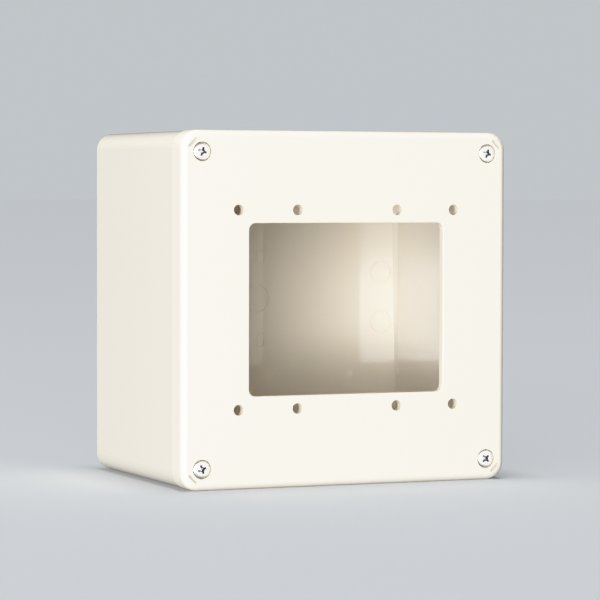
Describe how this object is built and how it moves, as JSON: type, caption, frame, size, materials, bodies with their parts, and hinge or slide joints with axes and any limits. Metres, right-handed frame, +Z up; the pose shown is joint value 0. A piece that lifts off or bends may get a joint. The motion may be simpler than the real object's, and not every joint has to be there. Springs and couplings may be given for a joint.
{
  "type": "surface mounting box",
  "caption": "Square surface-mounting box for a fire alarm device, with a screwed-on cover that has a rectangular window and device fixing holes.",
  "frame": {"origin": "centre of the flat back face that goes against the wall", "axes": "+Y into the wall, +Z up, +X to the right of someone facing the cover; the cover faces -Y"},
  "size_m": [0.15, 0.107, 0.15],
  "materials": {
    "moulded_body": "gloss",
    "moulded_cover": "semi-gloss",
    "gasket_rubber": "matte",
    "screw_steel": "bright plated",
    "ring_nylon": "satin",
    "insert_brass": "turned"
  },
  "bodies": {
    "box": {"box_body": "moulded_body", "threaded_insert_top_left": "insert_brass", "threaded_insert_top_right": "insert_brass", "threaded_insert_bottom_left": "insert_brass", "threaded_insert_bottom_right": "insert_brass"},
    "front_cover": {"cover": "moulded_cover", "cover_gasket": "gasket_rubber"},
    "ring_top_left": {"retaining_ring_top_left": "ring_nylon"},
    "screw_top_left": {"cover_screw_top_left": "screw_steel"},
    "ring_top_right": {"retaining_ring_top_right": "ring_nylon"},
    "screw_top_right": {"cover_screw_top_right": "screw_steel"},
    "ring_bottom_left": {"retaining_ring_bottom_left": "ring_nylon"},
    "screw_bottom_left": {"cover_screw_bottom_left": "screw_steel"},
    "ring_bottom_right": {"retaining_ring_bottom_right": "ring_nylon"},
    "screw_bottom_right": {"cover_screw_bottom_right": "screw_steel"}
  },
  "joints": [
    {"name": "cover_lift_off", "type": "slide", "parent": "box", "child": "front_cover", "axis": [0, -1, 0], "range_m": [0, 0.06]},
    {"name": "screw_travel_top_left", "type": "slide", "parent": "front_cover", "child": "ring_top_left", "axis": [0, -1, 0], "range_m": [0, 0.0056]},
    {"name": "screw_turn_top_left", "type": "hinge", "parent": "ring_top_left", "child": "screw_top_left", "pos_m": [-0.066, -0.1, 0.066], "axis": [0, -1, 0], "range_deg": [0, 2880]},
    {"name": "screw_travel_top_right", "type": "slide", "parent": "front_cover", "child": "ring_top_right", "axis": [0, -1, 0], "range_m": [0, 0.0056]},
    {"name": "screw_turn_top_right", "type": "hinge", "parent": "ring_top_right", "child": "screw_top_right", "pos_m": [0.066, -0.1, 0.066], "axis": [0, -1, 0], "range_deg": [0, 2880]},
    {"name": "screw_travel_bottom_left", "type": "slide", "parent": "front_cover", "child": "ring_bottom_left", "axis": [0, -1, 0], "range_m": [0, 0.0056]},
    {"name": "screw_turn_bottom_left", "type": "hinge", "parent": "ring_bottom_left", "child": "screw_bottom_left", "pos_m": [-0.066, -0.1, -0.066], "axis": [0, -1, 0], "range_deg": [0, 2880]},
    {"name": "screw_travel_bottom_right", "type": "slide", "parent": "front_cover", "child": "ring_bottom_right", "axis": [0, -1, 0], "range_m": [0, 0.0056]},
    {"name": "screw_turn_bottom_right", "type": "hinge", "parent": "ring_bottom_right", "child": "screw_bottom_right", "pos_m": [0.066, -0.1, -0.066], "axis": [0, -1, 0], "range_deg": [0, 2880]}
  ],
  "couplings": [
    {"joint": "screw_turn_top_left", "follows": "screw_travel_top_left", "rad_per_m": 8976},
    {"joint": "screw_turn_top_right", "follows": "screw_travel_top_right", "rad_per_m": 8976},
    {"joint": "screw_turn_bottom_left", "follows": "screw_travel_bottom_left", "rad_per_m": 8976},
    {"joint": "screw_turn_bottom_right", "follows": "screw_travel_bottom_right", "rad_per_m": 8976}
  ]
}
